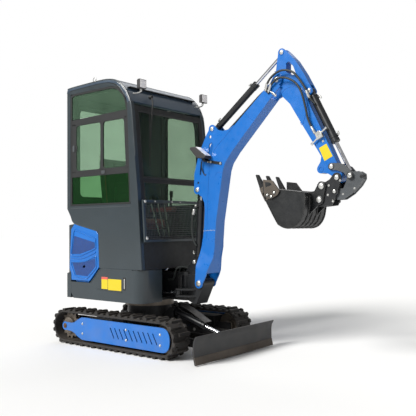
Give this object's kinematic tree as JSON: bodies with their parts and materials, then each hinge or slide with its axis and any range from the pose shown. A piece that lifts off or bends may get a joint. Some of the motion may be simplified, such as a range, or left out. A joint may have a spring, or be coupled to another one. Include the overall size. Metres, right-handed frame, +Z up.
{
  "type": "mini excavator",
  "caption": "Compact tracked excavator with an enclosed cab, a swinging boom, arm and toothed bucket, hydraulic cylinders and a front dozer blade.",
  "frame": {"origin": "centre of the bounding box, on the ground plane under the tracks", "axes": "+X forward, towards the dozer blade; +Y the operator's left; +Z up"},
  "size_m": [2.729, 1, 2.2948],
  "materials": {
    "blue_paint": "semi-gloss blue enamel",
    "grey_paint": "satin charcoal enamel",
    "black_paint": "satin black enamel, lightly dusty",
    "rubber": "matt ribbed rubber, dusty",
    "glass": "green tinted",
    "rod_chrome": "polished",
    "bare_steel": "worn",
    "engine_iron": "cast",
    "black_plastic": "grained",
    "seat_vinyl": "woven vinyl",
    "lamp": "black case and clear lens"
  },
  "bodies": {
    "undercarriage": {"centre_frame": "black_paint", "right_track_frame": "black_paint", "right_track": "rubber", "right_sprocket": "bare_steel", "right_idler": "bare_steel", "right_side_cover": "blue_paint", "left_track_frame": "black_paint", "left_track": "rubber", "left_sprocket": "bare_steel", "left_idler": "bare_steel", "left_side_cover": "blue_paint"},
    "blade": {"dozer_blade": "black_paint", "right_blade_arm": "black_paint", "left_blade_arm": "black_paint"},
    "blade_barrel": {"blade_cylinder_barrel": "black_paint"},
    "blade_rod": {"blade_cylinder_rod": "rod_chrome"},
    "house": {"deck": "black_paint", "slew_bearing": "bare_steel", "engine": "engine_iron", "counterweight": "grey_paint", "right_skirt": "grey_paint", "left_skirt": "grey_paint", "right_vent_cover": "blue_paint", "left_vent_cover": "blue_paint", "cab_floor": "black_plastic", "seat_base": "black_plastic", "seat_cushion": "seat_vinyl", "seat_back": "seat_vinyl", "travel_levers": "black_paint", "cab_right_wall": "grey_paint", "cab_left_wall": "grey_paint", "cab_rear_wall": "grey_paint", "cab_roof": "grey_paint", "cab_front_frame": "black_paint", "windscreen_upper": "glass", "windscreen_lower": "glass", "right_window": "glass", "rear_window": "glass", "front_guard": "black_paint", "right_work_light": "lamp", "left_work_light": "lamp"},
    "door": {"cab_door": "grey_paint", "door_glass": "glass"},
    "hood": {"engine_hood": "grey_paint"},
    "swing_post": {"swing_post": "black_paint"},
    "swing_barrel": {"swing_cylinder_barrel": "black_paint"},
    "swing_rod": {"swing_cylinder_rod": "rod_chrome"},
    "boom": {"boom": "blue_paint"},
    "boom_barrel": {"boom_cylinder_barrel": "black_paint"},
    "boom_rod": {"boom_cylinder_rod": "rod_chrome"},
    "arm": {"arm": "blue_paint"},
    "arm_barrel": {"arm_cylinder_barrel": "black_paint"},
    "arm_rod": {"arm_cylinder_rod": "rod_chrome"},
    "bucket": {"bucket": "black_paint", "quick_coupler": "black_paint"},
    "guide_link": {"guide_link": "black_paint"},
    "bucket_link": {"bucket_link": "black_paint"},
    "bucket_barrel": {"bucket_cylinder_barrel": "black_paint"},
    "bucket_rod": {"bucket_cylinder_rod": "rod_chrome"}
  },
  "joints": [
    {"name": "slew", "type": "hinge", "parent": "undercarriage", "child": "house", "pos_m": [-0.6495, 0, 0.336], "axis": [0, 0, 1], "continuous": true},
    {"name": "boom_swing", "type": "hinge", "parent": "house", "child": "swing_post", "pos_m": [-0.2095, 0, 0.51], "axis": [0, 0, 1], "range_deg": [-50, 70]},
    {"name": "boom_lift", "type": "hinge", "parent": "swing_post", "child": "boom", "pos_m": [-0.0195, 0, 0.543], "axis": [0, -1, 0], "range_deg": [-95, 10]},
    {"name": "arm_curl", "type": "hinge", "parent": "boom", "child": "arm", "pos_m": [0.7085, 0, 2.066], "axis": [0, 1, 0], "range_deg": [-72, 22]},
    {"name": "bucket_curl", "type": "hinge", "parent": "arm", "child": "bucket", "pos_m": [1.1795, 0, 1.322], "axis": [0, 1, 0], "range_deg": [-140, 8]},
    {"name": "guide_link_turn", "type": "hinge", "parent": "arm", "child": "guide_link", "pos_m": [1.1405, 0, 1.4], "axis": [0, 1, 0], "range_deg": [-83, 6]},
    {"name": "bucket_link_turn", "type": "hinge", "parent": "guide_link", "child": "bucket_link", "pos_m": [1.2765, 0, 1.33], "axis": [0, 1, 0], "range_deg": [-1.5, 17]},
    {"name": "bucket_cylinder_turn", "type": "hinge", "parent": "arm", "child": "bucket_barrel", "pos_m": [0.9655, 0, 1.95], "axis": [0, 1, 0], "range_deg": [-8, 1]},
    {"name": "bucket_rod_slide", "type": "slide", "parent": "bucket_barrel", "child": "bucket_rod", "axis": [0.4484, 0, -0.8938], "range_m": [-0.197, 0.012]},
    {"name": "arm_cylinder_turn", "type": "hinge", "parent": "boom", "child": "arm_barrel", "pos_m": [0.1025, 0, 1.767], "axis": [0, 1, 0], "range_deg": [-8, 3]},
    {"name": "arm_rod_slide", "type": "slide", "parent": "arm_barrel", "child": "arm_rod", "axis": [0.7892, 0, 0.6141], "range_m": [-0.213, 0.066]},
    {"name": "boom_cylinder_turn", "type": "hinge", "parent": "swing_post", "child": "boom_barrel", "pos_m": [-0.0885, 0, 0.71], "axis": [0, -1, 0], "range_deg": [-104, 11.5]},
    {"name": "boom_rod_slide", "type": "slide", "parent": "boom_barrel", "child": "boom_rod", "axis": [0.0618, 0, 0.9981], "range_m": [-0.027, 0.246]},
    {"name": "blade_lift", "type": "hinge", "parent": "undercarriage", "child": "blade", "pos_m": [-0.3195, 0, 0.115], "axis": [0, -1, 0], "range_deg": [-15, 18]},
    {"name": "blade_cylinder_turn", "type": "hinge", "parent": "undercarriage", "child": "blade_barrel", "pos_m": [-0.3695, 0, 0.3], "axis": [0, -1, 0], "range_deg": [-13, 15.5]},
    {"name": "blade_rod_slide", "type": "slide", "parent": "blade_barrel", "child": "blade_rod", "axis": [0.9569, 0, -0.2905], "range_m": [-0.0535, 0.0445]},
    {"name": "swing_cylinder_turn", "type": "hinge", "parent": "house", "child": "swing_barrel", "pos_m": [-0.7695, -0.2, 0.465], "axis": [0, 0, 1], "range_deg": [-1.5, 2]},
    {"name": "swing_rod_slide", "type": "slide", "parent": "swing_barrel", "child": "swing_rod", "axis": [0.9925, 0.1219, 0], "range_m": [-0.097, 0.135]},
    {"name": "cab_door_hinge", "type": "hinge", "parent": "house", "child": "door", "pos_m": [-0.9115, 0.468, 1.5], "axis": [0, 0, 1], "range_deg": [0, 150]},
    {"name": "hood_hinge", "type": "hinge", "parent": "house", "child": "hood", "pos_m": [-1.1245, 0, 1.016], "axis": [0, 1, 0], "range_deg": [0, 45]}
  ],
  "couplings": [
    {"joint": "guide_link_turn", "follows": "bucket_curl", "ratio": 0.585},
    {"joint": "bucket_link_turn", "follows": "bucket_curl", "ratio": -0.115},
    {"joint": "bucket_cylinder_turn", "follows": "bucket_curl", "ratio": 0.055},
    {"joint": "bucket_rod_slide", "follows": "bucket_curl", "m_per_rad": 0.08},
    {"joint": "arm_cylinder_turn", "follows": "arm_curl", "ratio": 0.1044},
    {"joint": "arm_rod_slide", "follows": "arm_curl", "m_per_rad": 0.1684},
    {"joint": "boom_cylinder_turn", "follows": "boom_lift", "ratio": 1.0864},
    {"joint": "boom_rod_slide", "follows": "boom_lift", "m_per_rad": -0.1477},
    {"joint": "blade_cylinder_turn", "follows": "blade_lift", "ratio": 0.8337},
    {"joint": "blade_rod_slide", "follows": "blade_lift", "m_per_rad": -0.1643},
    {"joint": "swing_cylinder_turn", "follows": "boom_swing", "ratio": 0.0229},
    {"joint": "swing_rod_slide", "follows": "boom_swing", "m_per_rad": 0.1092}
  ]
}
